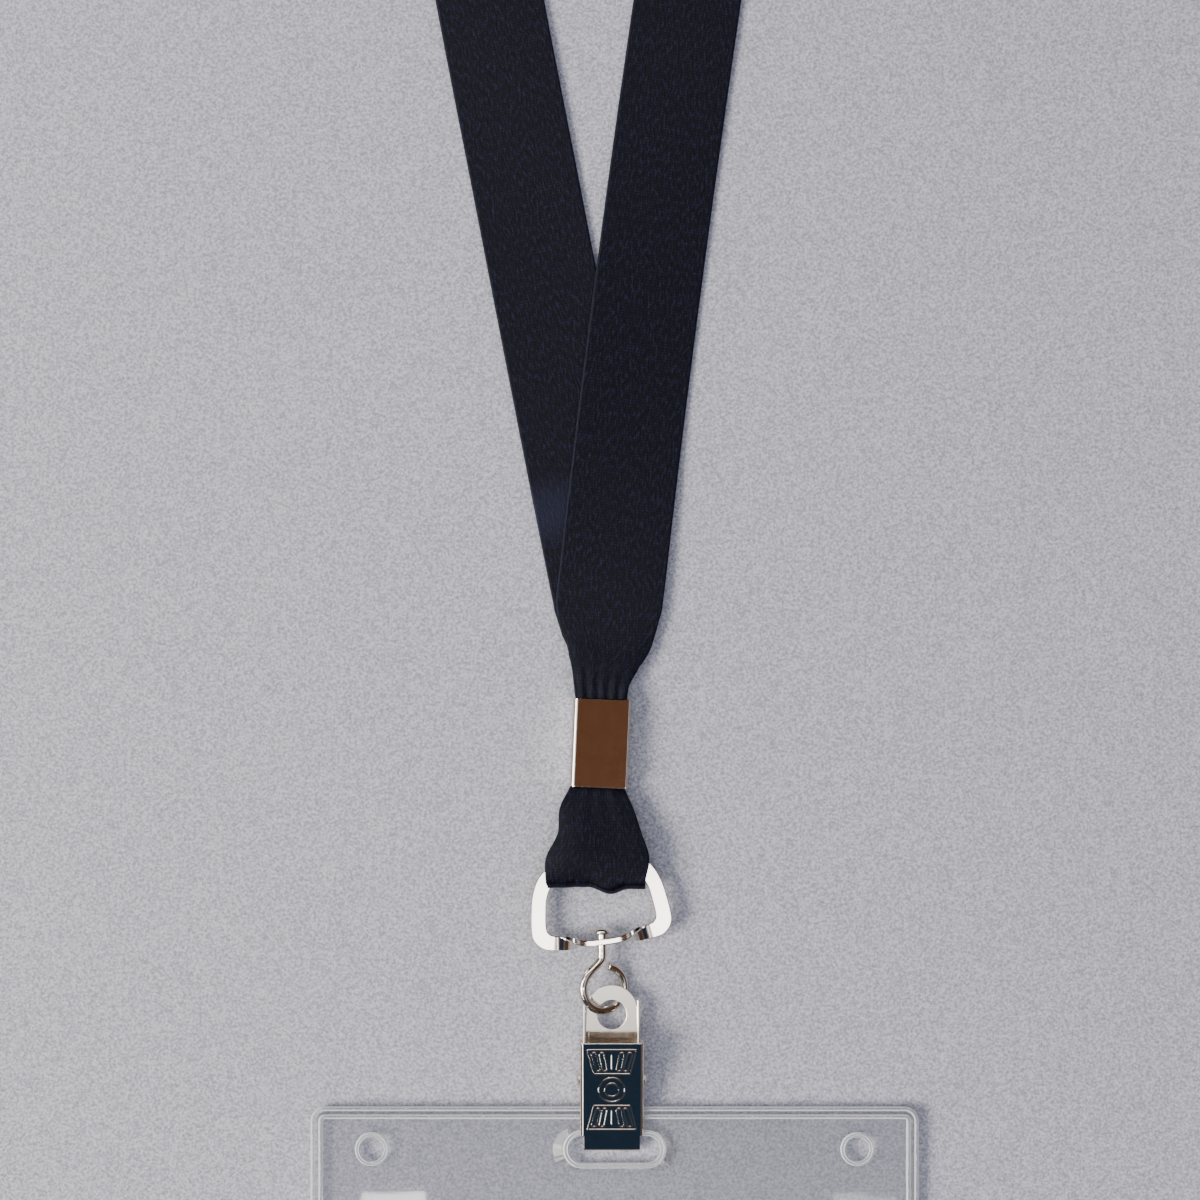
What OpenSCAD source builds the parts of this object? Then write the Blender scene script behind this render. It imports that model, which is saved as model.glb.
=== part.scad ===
// Lanyard badge holder: a flat ribbon loop gathered in a metal sleeve, a stamped
// D-loop with a swivel eye, a spring clip and a clear welded card pocket.
// The object lies flat: +Y runs from the pocket to the ribbon, +Z is up, and the
// origin is on the surface under the middle of the pocket and hardware.
// Measurements along the length start at the pocket's top edge.

/* [Card pocket] */
// Overall width of the pocket
holder_w = 108; // [100:1:114]
// Overall height of the pocket, header included
holder_h = 95; // [90:1:110]
// Thickness of one clear sheet
sheet_t = 0.35; // [0.3:0.05:0.4]
// Radius of the outer corners
corner_r = 2.6; // [2:0.1:4]
// Width of the welded border
border_w = 2.2; // [1.8:0.1:2.6]
// Height of the weld beads above the back sheet
bead_h = 0.55; // [0.45:0.05:0.6]
// Depth of the header, down to the pocket's opening
header_h = 14.9; // [13:0.1:17]
// Room left between the sheets for a card
card_gap = 0.3; // [0.2:0.05:0.4]

/* [Slot and holes] */
// End-to-end length of the slot
slot_l = 16.2; // [15:0.1:17]
// Width of the slot
slot_w = 4.8; // [4.6:0.1:5]
// Distance from the top edge to the middle of the slot and holes
slot_y = 7.6; // [7.5:0.1:7.8]
// Width of the welded rim round the slot
slot_rim = 1.0; // [0.8:0.1:1.2]
// Radius of the two chain holes
hole_r = 2.1; // [1.9:0.1:2.4]
// Distance between the two chain holes
hole_pitch = 86.2; // [80:0.2:90]
// Width of the welded rim round each hole
hole_rim = 0.9; // [0.7:0.1:1.1]

/* [Clip] */
// Width of the clip over the front plate's flanges
clip_w = 11.3; // [11:0.1:12]
// Thickness of the stamped plates
plate_t = 0.4; // [0.35:0.05:0.45]
// Slope of the back lever on the surface
clip_pitch = 5.3; // [5:0.1:5.6]
// Angle between the front plate and the back lever
jaw_angle = 12; // [11.5:0.5:12.5]
// Radius of the pivot pin
pin_r = 0.6; // [0.5:0.05:0.65]
// Diameter of the hole in the back lever's tab
tab_hole_d = 5.2; // [5.1:0.05:5.3]

/* [D-loop and swivel] */
// Height of the D-loop's mid plane above the surface
loop_z = 3.22; // [3.2:0.01:3.3]
// Width of the stamped strip
strip_w = 2.8; // [2.6:0.1:3]
// Thickness of the stamped strip
strip_t = 1.0; // [0.9:0.05:1.1]
// Turn of the D-loop in its resting place
loop_turn = 7.5; // [6:0.5:9]
// Radius of the swivel wire
wire_r = 0.75; // [0.7:0.05:0.8]
// Tilt of the eye about its shank
eye_tilt = 34; // [33:1:36]

/* [Ribbon and sleeve] */
// Width of the ribbon
ribbon_w = 19; // [18:0.5:19.5]
// Thickness of the ribbon
ribbon_t = 0.8; // [0.6:0.1:0.8]
// Width of the crimped sleeve
sleeve_w = 10.2; // [10:0.1:10.6]
// Length of the sleeve
sleeve_l = 15.6; // [15:0.1:16]
// Height of the sleeve
sleeve_h = 4.4; // [4.2:0.1:4.6]
// Wall of the sleeve
sleeve_t = 0.5; // [0.4:0.05:0.6]

/* [Hidden] */
$fn = 64;
e = 0.01;

// Sleeve: its middle, its turn, and the highest point of the hardware.
sleeve_x = -2.6;
sleeve_y = 64.5;
sleeve_turn = -2.5;
sleeve_corner = 0.9;
seam_w = 0.25;
hardware_top = sleeve_y + sleeve_l / 2 * cos(sleeve_turn) - sleeve_w / 2 * sin(sleeve_turn);
// The origin is halfway between the pocket's lower edge and the sleeve's upper corner.
top_y = (holder_h - hardware_top) / 2;

// Pocket: its upper edge rides on the clip's back lever.
holder_lift = 1.3;
holder_tilt = asin(holder_lift / holder_h);
border_bead_w = 0.7;
mouth_gap = 0.1;

// Clip: the jaw tip's place, and lengths along the back lever from that tip.
clip_x = -0.5;
tip_y = -7.3;
tab_end = 29.1;
tab_w = 9;
tab_hole_s = 23.8;
lever_w = 10;
lever_start = 8.0;
lever_end = 26.3;
pin_s = 12.65;
pin_h = 2.3;
pin_clearance = 0.05;
pin_head_r = 1.25;
pin_head_t = 0.55;
// Front plate: its underside's height at the tip, its length, and its flanges.
jaw_h = 1.55;
jaw_l = 20.3;
jaw_lip = 0.8;
jaw_flange_start = 2.5;
ear_r = 1.6;
// The pivot pin, seen along the front plate from its tip.
pin_a = pin_s * cos(jaw_angle) + (pin_h - jaw_h) * sin(jaw_angle);
pin_d = (pin_h - jaw_h) * cos(jaw_angle) - pin_s * sin(jaw_angle);
// Torsion spring: its coil, and how far each leg reaches along the lever from the pin.
spring_wire_r = 0.25;
spring_r = 1.2;
spring_turns = 6.5;
spring_x = 4.1;
rear_leg = [8.2, 6, 4, 2];
front_leg = [2, 4, 5.5];
leg_slope = 0.17;

// D-loop: its middle, the bar that the ribbon wraps, and the drilled bridge.
loop_x = -2.75;
loop_y = 35.6;
bar_v = 7.0;
bridge_v = -6.15;
bridge_half = 4.2;
twist_l = 4.6;
bore_clearance = 0.06;
// Circles [x, y, radius] round one half of the D-loop's outside and of its window.
loop_outer = [[9.9, -4.6, 2.4], [6.6, 0.6, 5.6], [7.0, 5.0, 3.4]];
loop_inner = [[8.9, -2.9, 0.4], [5.7, 0.8, 3.8], [8.4, 5.1, 0.5]];
// Swivel eye: the shank's place, and the eye's half width and half height.
shank_x = -2.3;
eye_x = -1.94;
eye_y = 21.16;
eye_a = 4.4;
eye_b = 3.93;
// Angles at which the eye's wire begins and ends, and the shank's ends and head.
eye_from = 126;
eye_to = 438;
eye_step = 12;
shank_y = 26.3;
head_y = 31.1;
head_r = 1.35;
head_t = 0.65;

// Wrap: the tunnel for the bar, and the ribbon layers outside it.
tunnel_r = 1.8;
wrap_r = 2.6;
wrap_w = 17.2;
core_gap = 0.05;
core_inset = 0.1;

// Ribbon route: x, y, height of the lower edge, how far the ribbon is gathered (0 open, 1 as in
// the sleeve) and roll. It leaves the sleeve, lies flat, turns on edge round the neck end and
// comes back over the first run into the sleeve.
gathered_w = 9;
gathered_t = 1.5;
strap_route = [
    [-2.4, 72.3, 0.5, 1, 0], [-2.4, 75.5, 0.4, 0.9, 0], [-1.9, 79, 0.2, 0.65, 0], [-1.3, 83, 0, 0.3, 0],
    [-1.3, 89, 0, 0, 0], [-2.4, 95, 0, 0, 0], [-5, 108, 0, 0, 0], [-9.3, 130, 0, 0, 0],
    [-15.7, 163, 0, 0, 0], [-22.3, 197, 0, 0, 0], [-28.4, 230, 0, 0, 6], [-34.2, 265, 0, 0, 25],
    [-39, 300, 0, 0, 50], [-42.6, 335, 0, 0, 72], [-44.8, 370, 0, 0, 86], [-46, 405, 0, 0, 90],
    [-46, 438, 0, 0, 90], [-40, 459, 0, 0, 90], [-25, 474, 0, 0, 90], [-4, 480, 0, 0, 90],
    [17, 474, 0, 0, 90], [32, 459, 0, 0, 90], [38, 438, 0, 0, 90], [37.5, 405, 0, 0, 90],
    [35, 370, 0, 0, 94], [31.8, 335, 0, 0, 108], [27.4, 300, 0, 0, 130], [22.6, 265, 0, 0, 155],
    [17.8, 230, 0, 0, 174], [13, 197, 0, 0, 180], [8.2, 163, 0, 0, 178.5], [3.9, 130, 0, 0, 176],
    [1.2, 108, 0.6, 0, 177.3], [-0.3, 95, 0.9, 0, 178.7], [-1, 89, 1.1, 0, 180],
    [-1.2, 83, 1.4, 0.3, 180], [-1.8, 79, 1.85, 0.65, 180], [-2.3, 75.5, 2.2, 0.9, 180],
    [-2.4, 72.3, 2.4, 1, 180]
];

// ---- Helpers ----

// A closed solid through rings of points, all rings with the same number of points.
module loft(rings) {
    n = len(rings[0]);
    m = len(rings);
    sides = [for (i = [0:m - 2], j = [0:n - 1])
        let (k = (j + 1) % n)
        each [[i * n + j, (i + 1) * n + j, (i + 1) * n + k], [i * n + j, (i + 1) * n + k, i * n + k]]];
    first = [[for (j = [0:n - 1]) j]];
    last = [[for (j = [n - 1:-1:0]) (m - 1) * n + j]];
    polyhedron(points = [for (ring = rings) each ring], faces = concat(sides, first, last));
}

function unit(v) = v / norm(v);
function tangent(path, i) = unit(path[min(i + 1, len(path) - 1)] - path[max(i - 1, 0)]);

// Rings of a round wire along a path. ref is a direction that the path never follows.
function wire_rings(path, r, ref, n) = [for (i = [0:len(path) - 1])
    let (t = tangent(path, i), a = unit(cross(t, ref)), b = cross(t, a))
    [for (j = [0:n - 1]) path[i] + r * (cos(j * 360 / n) * a + sin(j * 360 / n) * b)]];

// A value between p1 and p2 on the smooth curve through four stations.
function between(p0, p1, p2, p3, t) = 0.5 * (2 * p1 + (p2 - p0) * t
    + (2 * p0 - 5 * p1 + 4 * p2 - p3) * t * t + (3 * p1 - p0 - 3 * p2 + p3) * t * t * t);
function station(route, i) = route[max(0, min(len(route) - 1, i))];
function smooth_route(route, steps) = [for (i = [0:len(route) - 2], k = [0:steps - 1])
    between(station(route, i - 1), route[i], route[i + 1], station(route, i + 2), k / steps),
    route[len(route) - 1]];

// Eight points round a flat ribbon section, half width a and half thickness b.
function ribbon_outline(a, b) = [[a, b / 2], [a - b, b], [b - a, b], [-a, b / 2],
    [-a, -b / 2], [b - a, -b], [a - b, -b], [a, -b / 2]];
function ribbon_ring(route, i) =
    let (p = route[i], q = station(route, i + 1) - station(route, i - 1), along = unit([q[0], q[1], 0]),
        up = [0, 0, 1], side = cross(along, up), gather = max(p[3], 0), roll = p[4],
        a = (ribbon_w + (gathered_w - ribbon_w) * gather) / 2,
        b = (ribbon_t + (gathered_t - ribbon_t) * gather) / 2,
        across = side * cos(roll) - up * sin(roll), face = up * cos(roll) + side * sin(roll),
        mid = [p[0], p[1], max(p[2], 0) + a * abs(sin(roll)) + b * abs(cos(roll))])
    [for (c = ribbon_outline(a, b)) mid + c[0] * across + c[1] * face];

module rounded_box(w, h, r) {
    square([w - 2 * r, h], center = true);
    square([w, h - 2 * r], center = true);
    for (x = [-1, 1], y = [-1, 1]) translate([x * (w / 2 - r), y * (h / 2 - r)]) circle(r);
}

module slot_shape(l, w) {
    square([l - w, w], center = true);
    for (x = [-1, 1]) translate([x * (l - w) / 2, 0]) circle(w / 2);
}

// ---- Ribbon and sleeve ----

module neck_strap() {
    route = smooth_route(strap_route, 2);
    color("#14151c") translate([0, top_y, 0])
        loft([for (i = [0:len(route) - 1]) ribbon_ring(route, i)]);
}

module sleeve_place() {
    translate([sleeve_x, top_y + sleeve_y, sleeve_h / 2]) rotate(sleeve_turn) children();
}

module sleeve_section(grow) {
    rounded_box(sleeve_w + 2 * grow, sleeve_h + 2 * grow, sleeve_corner + grow);
}

// Ribbon end folded round the D-loop's bar, with its layers gathered inside the sleeve.
module strap_wrap() {
    neck = sleeve_t + core_gap;
    color("#171922") difference() {
        union() {
            sleeve_place() rotate([90, 0, 0]) linear_extrude(sleeve_l - 2 * core_inset, center = true)
                sleeve_section(-neck);
            hull() {
                sleeve_place() translate([0, -sleeve_l / 2 - 0.5, 0]) rotate([90, 0, 0])
                    linear_extrude(1) sleeve_section(-neck);
                loop_place() translate([0, bar_v, 0]) rotate([0, 90, 0])
                    cylinder(r = wrap_r, h = wrap_w, center = true, $fn = 32);
            }
            sleeve_place() translate([0, -sleeve_l / 2, 0]) rotate([90, 0, 0])
                linear_extrude(1.5, center = true) sleeve_section(-neck);
        }
        loop_place() translate([0, bar_v, 0]) rotate([0, 90, 0])
            cylinder(r = tunnel_r, h = wrap_w + 2, center = true);
    }
}

module crimp_sleeve() {
    color("#b9b2a8") sleeve_place() difference() {
        rotate([90, 0, 0]) linear_extrude(sleeve_l, center = true) difference() {
            sleeve_section(0);
            sleeve_section(-sleeve_t);
        }
        // butt seam along the back
        translate([0, 0, -sleeve_h / 2]) cube([seam_w, sleeve_l + 2, 2 * sleeve_t + 0.2], center = true);
    }
}

// ---- D-loop and swivel eye ----

module loop_place() {
    translate([loop_x, top_y + loop_y, loop_z]) rotate(loop_turn) children();
}

module loop_shape(circles) {
    hull() for (side = [-1, 1], c = circles) translate([side * c[0], c[1]]) circle(c[2], $fn = 48);
}

// Half of the bridge: the strip turns from flat at the corner to on edge at the middle.
module twisted_half() {
    translate([bridge_half - e, bridge_v, 0]) rotate([0, 90, 0])
        linear_extrude(twist_l + 2 * e, twist = 90, slices = 14, segments = 4)
            square([strip_w, strip_t], center = true);
}

module d_loop() {
    color("#d8d4cc") loop_place() difference() {
        union() {
            difference() {
                linear_extrude(strip_t, center = true) difference() {
                    loop_shape(loop_outer);
                    loop_shape(loop_inner);
                }
                // the bottom bar is open between the two corner tongues
                translate([0, -6, 0]) cube([2 * (bridge_half + twist_l), 6, 4], center = true);
            }
            for (x = [0, 1]) mirror([x, 0, 0]) twisted_half();
            translate([0, bridge_v, 0]) cube([2 * bridge_half, strip_t, strip_w], center = true);
        }
        rotate(-loop_turn) translate([shank_x - loop_x, 0, 0]) rotate([90, 0, 0])
            cylinder(r = wire_r + bore_clearance, h = 8);
    }
}

eye_path = [
    for (y = [0.3, -0.2]) [shank_x, shank_y + y, loop_z],
    for (f = [eye_from:eye_step:eye_to]) [eye_x + eye_a * cos(eye_tilt) * cos(f), eye_y + eye_b * sin(f),
        loop_z - eye_a * sin(eye_tilt) * cos(f)]
];

// Headed wire: head, shank through the bridge, and an eye closed round the clip's tab.
module swivel_eye() {
    color("#c9c3b8") translate([0, top_y, 0]) {
        loft(wire_rings(eye_path, wire_r, [sin(eye_tilt), 0, cos(eye_tilt)], 12));
        translate([shank_x, shank_y, loop_z]) rotate([-90, 0, 0]) cylinder(r = wire_r, h = head_y - shank_y);
        translate([shank_x, head_y - 0.1, loop_z]) rotate([-90, 0, 0]) cylinder(r = head_r, h = head_t);
    }
}

// ---- Clip ----

// Frame of the back lever: X across, Y along the lever from the jaw tip, Z away from it.
module clip_place() {
    translate([clip_x, top_y + tip_y, 0]) rotate([clip_pitch, 0, 0]) children();
}

// A side flange: a flat outline in (along, height), standing at x and thickening towards +X.
module flange(x) {
    translate([x, 0, 0]) rotate([90, 0, 90]) linear_extrude(plate_t) children();
}

module pin_hole(r) {
    translate([0, pin_s, pin_h]) rotate([0, 90, 0]) cylinder(r = r, h = 2 * clip_w, center = true);
}

module rear_flange_outline() {
    polygon([[lever_start, 0], [lever_start, 1.9], [pin_s - 2, 3.3], [pin_s + 2, 3.5],
        [pin_s + 7, 2.2], [lever_end, plate_t], [lever_end, 0]]);
    translate([pin_s, pin_h]) circle(ear_r);
}

module clip_rear_lever() {
    tab_r = tab_w / 2;
    color("#cfcac0") clip_place() difference() {
        union() {
            linear_extrude(plate_t) {
                translate([-tab_w / 2, 0]) square([tab_w, tab_end - tab_r]);
                translate([0, tab_end - tab_r]) circle(tab_r);
            }
            translate([-lever_w / 2, lever_start, 0]) cube([lever_w, lever_end - lever_start, plate_t]);
            flange(-lever_w / 2) rear_flange_outline();
            flange(lever_w / 2 - plate_t) rear_flange_outline();
        }
        translate([0, tab_hole_s, -1]) cylinder(d = tab_hole_d, h = 3);
        pin_hole(pin_r);
    }
}

module clip_pivot_pin() {
    color("#bdb7ac") clip_place() translate([0, pin_s, pin_h]) rotate([0, 90, 0]) {
        cylinder(r = pin_r, h = clip_w + 0.2, center = true);
        for (z = [-1, 1]) translate([0, 0, z * (clip_w / 2 + pin_clearance + pin_head_t / 2)])
            cylinder(r = pin_head_r, h = pin_head_t, center = true);
    }
}

// Torsion spring: one leg on the back lever, a coil round the pin, one leg under the front plate.
spring_sweep = 360 * spring_turns;
spring_path = [
    for (s = rear_leg) [-spring_x, pin_s + s, plate_t + spring_wire_r + 2 * e + (rear_leg[0] - s) * 2 * e],
    for (a = [0:22.5:spring_sweep]) [-spring_x + 2 * spring_x * a / spring_sweep,
        pin_s + spring_r * sin(a), pin_h - spring_r * cos(a)],
    for (s = front_leg) [spring_x, pin_s + s, pin_h + spring_r + (s - 1) * leg_slope]
];

module clip_spring() {
    color("#9a958c") clip_place() loft(wire_rings(spring_path, spring_wire_r, [1, 0, 0], 6));
}

// Frame of the front plate: Y along the plate from its tip, Z = 0 on its underside.
module jaw_place() {
    clip_place() translate([0, 0, jaw_h]) rotate([jaw_angle, 0, 0]) children();
}

module front_flange_outline() {
    polygon([[jaw_flange_start, plate_t], [jaw_flange_start, -0.15], [7.6, -0.4], [pin_a - 2.2, -1.9],
        [pin_a + 2, -2.6], [jaw_l, -1.6], [jaw_l, plate_t]]);
    translate([pin_a, pin_d]) circle(ear_r + 0.1);
}

module clip_front_jaw() {
    color("#3a4048") difference() {
        jaw_place() {
            translate([-lever_w / 2, 0, 0]) cube([lever_w, jaw_l, plate_t]);
            translate([-clip_w / 2, jaw_flange_start, 0]) cube([clip_w, jaw_l - jaw_flange_start, plate_t]);
            translate([-lever_w / 2, 0, -jaw_lip]) cube([lever_w, plate_t, jaw_lip + e]);
            flange(-clip_w / 2) front_flange_outline();
            flange(clip_w / 2 - plate_t) front_flange_outline();
        }
        clip_place() pin_hole(pin_r + pin_clearance);
    }
}

// ---- Card pocket ----

// Frame of the pocket: origin at the middle of its upper edge, on the back face.
module holder_place() {
    translate([0, top_y, holder_lift]) rotate([holder_tilt, 0, 0]) children();
}

module sheet_outline(inset) {
    translate([0, -holder_h / 2])
        rounded_box(holder_w - 2 * inset, holder_h - 2 * inset, max(corner_r - inset, 0.4));
}

module slot_at(grow) {
    translate([0, -slot_y]) slot_shape(slot_l + 2 * grow, slot_w + 2 * grow);
}

module hole_at(side, grow) {
    translate([side * hole_pitch / 2, -slot_y]) circle(hole_r + grow);
}

module holder_back_sheet() {
    color([0.86, 0.88, 0.91, 0.45]) holder_place() linear_extrude(sheet_t) difference() {
        sheet_outline(0);
        slot_at(0);
        for (side = [-1, 1]) hole_at(side, 0);
    }
}

// Front layer of the header, between the welded border and the pocket's opening.
module holder_header_front() {
    color([0.86, 0.88, 0.91, 0.4]) holder_place() translate([0, 0, sheet_t]) linear_extrude(sheet_t)
        difference() {
            intersection() {
                sheet_outline(border_w);
                translate([-holder_w / 2, -header_h]) square([holder_w, header_h]);
            }
            slot_at(slot_rim);
            for (side = [-1, 1]) hole_at(side, hole_rim);
        }
}

// Front layer of the pocket, a card's thickness clear of the back sheet.
module holder_pocket_front() {
    color([0.84, 0.87, 0.91, 0.4]) holder_place() translate([0, 0, sheet_t + card_gap])
        linear_extrude(sheet_t) intersection() {
            sheet_outline(border_w);
            translate([-holder_w / 2, -holder_h]) square([holder_w, holder_h - header_h - mouth_gap]);
        }
}

// Welded border: a flat band with a raised bead along each edge.
module holder_border_weld() {
    color([0.9, 0.92, 0.95, 0.6]) holder_place() translate([0, 0, sheet_t]) {
        linear_extrude(sheet_t + card_gap) difference() {
            sheet_outline(0);
            sheet_outline(border_w);
        }
        for (inset = [0, border_w - border_bead_w]) translate([0, 0, e]) linear_extrude(bead_h + card_gap)
            difference() {
                sheet_outline(inset);
                sheet_outline(inset + border_bead_w);
            }
    }
}

module holder_slot_weld() {
    color([0.9, 0.92, 0.95, 0.6]) holder_place() translate([0, 0, sheet_t]) linear_extrude(bead_h)
        difference() {
            slot_at(slot_rim);
            slot_at(0);
        }
}

module hole_weld(side) {
    color([0.9, 0.92, 0.95, 0.6]) holder_place() translate([0, 0, sheet_t]) linear_extrude(bead_h)
        difference() {
            hole_at(side, hole_rim);
            hole_at(side, 0);
        }
}

module holder_hole_weld_left() {
    hole_weld(-1);
}

module holder_hole_weld_right() {
    hole_weld(1);
}

neck_strap();
strap_wrap();
crimp_sleeve();
d_loop();
swivel_eye();
clip_rear_lever();
clip_pivot_pin();
clip_spring();
clip_front_jaw();
holder_back_sheet();
holder_header_front();
holder_pocket_front();
holder_border_weld();
holder_slot_weld();
holder_hole_weld_left();
holder_hole_weld_right();
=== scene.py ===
# Lanyard badge holder, laid flat: satin ribbon, crimped sleeve, D-loop, swivel eye, spring clip and
# a clear welded card pocket. Lengths are in millimetres until at() places them in the frame, where
# y runs from the pocket's top edge towards the ribbon.
import math
from math import cos, pi, radians, sin

import bmesh
import bpy
from mathutils import Matrix, Vector, noise


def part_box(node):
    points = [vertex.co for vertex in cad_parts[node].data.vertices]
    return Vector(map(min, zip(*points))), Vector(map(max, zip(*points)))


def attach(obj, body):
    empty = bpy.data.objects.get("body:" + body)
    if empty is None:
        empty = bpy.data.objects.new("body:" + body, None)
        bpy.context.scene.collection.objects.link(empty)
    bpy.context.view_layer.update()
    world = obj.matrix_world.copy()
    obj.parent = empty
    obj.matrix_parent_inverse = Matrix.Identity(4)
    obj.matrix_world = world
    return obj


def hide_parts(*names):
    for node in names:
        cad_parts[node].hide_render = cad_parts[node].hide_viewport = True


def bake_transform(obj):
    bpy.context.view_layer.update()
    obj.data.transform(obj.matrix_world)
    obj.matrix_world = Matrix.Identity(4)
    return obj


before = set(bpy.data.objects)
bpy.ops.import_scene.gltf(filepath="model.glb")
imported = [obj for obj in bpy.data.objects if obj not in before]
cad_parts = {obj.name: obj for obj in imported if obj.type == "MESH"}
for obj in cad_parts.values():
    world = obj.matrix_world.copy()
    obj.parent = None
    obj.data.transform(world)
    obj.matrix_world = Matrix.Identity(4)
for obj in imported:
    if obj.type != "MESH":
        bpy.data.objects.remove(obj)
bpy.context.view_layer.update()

MM = 0.001
TOP_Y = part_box("holder_back_sheet")[1][1]
UP = Vector((0, 0, 1))


def at(x, y, z=0.0):
    """A point of the part's frame, from millimetres measured from the pocket's top edge."""
    return Vector((x * MM, TOP_Y + y * MM, z * MM))


# ---- Camera and room ----

AIM = at(-2.6, 89.9)
CAMERA_HEIGHT = 0.7
VIEW_WIDTH = 0.2136
SENSOR = 36.0
# The floor is just under the part, so that the two never share a plane.
FLOOR_Z, FLOOR_SIZE = -0.0003, 10.0


def make_camera():
    data = bpy.data.cameras.new("overhead_camera")
    data.sensor_width = SENSOR
    data.lens = SENSOR * CAMERA_HEIGHT / VIEW_WIDTH
    camera = bpy.data.objects.new("overhead_camera", data)
    camera.location = AIM + Vector((0, 0, CAMERA_HEIGHT))
    bpy.context.collection.objects.link(camera)
    bpy.context.scene.camera = camera


def linear(code):
    """Linear RGBA from an sRGB hex value such as #c8c4bc."""
    parts = [int(code[i:i + 2], 16) / 255 for i in (1, 3, 5)]
    return [c / 12.92 if c <= 0.04045 else ((c + 0.055) / 1.055) ** 2.4 for c in parts] + [1.0]


def add(tree, kind, inputs=None, **settings):
    """Adds a shader node. An input is a value, or another node's output socket to link."""
    made = tree.nodes.new(kind)
    for name, value in settings.items():
        setattr(made, name, value)
    for name, value in (inputs or {}).items():
        socket = made.inputs[name]
        if isinstance(value, bpy.types.NodeSocket):
            tree.links.new(value, socket)
        else:
            socket.default_value = value
    return made


def new_material(name):
    """An empty material with its node tree and its output node."""
    material = bpy.data.materials.new(name)
    material.use_nodes = True
    tree = material.node_tree
    tree.nodes.clear()
    return material, tree, add(tree, "ShaderNodeOutputMaterial")


def ramp(tree, factor, stops):
    """A colour ramp node fed by factor, with stops as (position, hex)."""
    made = add(tree, "ShaderNodeValToRGB", {"Fac": factor})
    row = made.color_ramp.elements
    while len(row) < len(stops):
        row.new(0.5)
    for element, (position, code) in zip(row, stops):
        element.position = position
        element.color = linear(code)
    return made


def object_coords(tree, scale=(1, 1, 1), turn=0.0):
    """Object coordinates in millimetres, stretched and turned about Z."""
    coords = add(tree, "ShaderNodeTexCoord")
    return add(tree, "ShaderNodeMapping", {
        "Vector": coords.outputs["Object"],
        "Scale": [1000 * s for s in scale],
        "Rotation": (0, 0, turn),
    }).outputs["Vector"]


# Painted board: matt grey with a fine speckle, about 0.5 mm, from the roller.
def painted_board():
    material, tree, out = new_material("painted_board")
    speckle = add(tree, "ShaderNodeTexNoise",
                  {"Vector": object_coords(tree), "Scale": 2.2, "Detail": 3.0, "Roughness": 0.7})
    colour = ramp(tree, speckle.outputs["Fac"], [(0.36, "#9b9ba8"), (0.64, "#e0dfea")])
    shader = add(tree, "ShaderNodeBsdfPrincipled",
                 {"Base Color": colour.outputs["Color"], "Roughness": 0.75, "Specular IOR Level": 0.3})
    tree.links.new(shader.outputs["BSDF"], out.inputs["Surface"])
    return material


def plain_card(name, code, glow=0.0):
    """Matt card of one colour, lit or not, for the things in the room that the bright metal mirrors."""
    material, tree, out = new_material(name)
    shader = add(tree, "ShaderNodeBsdfPrincipled", {
        "Base Color": linear(code), "Roughness": 0.9, "Specular IOR Level": 0.1,
        "Emission Color": linear(code), "Emission Strength": glow})
    tree.links.new(shader.outputs["BSDF"], out.inputs["Surface"])
    return material


def flat_panel(name, centre, size, facing, material):
    """A panel of that width and depth, turned to face a direction."""
    bm = bmesh.new()
    bmesh.ops.create_grid(bm, x_segments=1, y_segments=1, size=0.5)
    bmesh.ops.scale(bm, vec=(size[0], size[1], 1), verts=bm.verts)
    turn = Vector(facing).to_track_quat("Z", "Y").to_matrix().to_4x4()
    bm.transform(Matrix.Translation(centre) @ turn)
    mesh = bpy.data.meshes.new(name)
    bm.to_mesh(mesh)
    bm.free()
    panel = bpy.data.objects.new(name, mesh)
    panel.data.materials.append(material)
    bpy.context.collection.objects.link(panel)
    return panel


def area_light(name, place, size, power, code):
    """A square soft light at place, aimed at the hardware."""
    data = bpy.data.lights.new(name, "AREA")
    data.size = size
    data.energy = power
    data.color = linear(code)[:3]
    light = bpy.data.objects.new(name, data)
    light.location = place
    light.rotation_euler = (Vector(place) - AIM).to_track_quat("Z", "Y").to_euler()
    bpy.context.collection.objects.link(light)
    return light


def mirrored_card(name, centre, size, facing, code, glow=0.0):
    """A card that only shiny surfaces see."""
    card = flat_panel(name, centre, size, facing, plain_card(name, code, glow))
    card.visible_camera = False
    card.visible_shadow = False
    card.visible_diffuse = False
    card.visible_transmission = False


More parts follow.
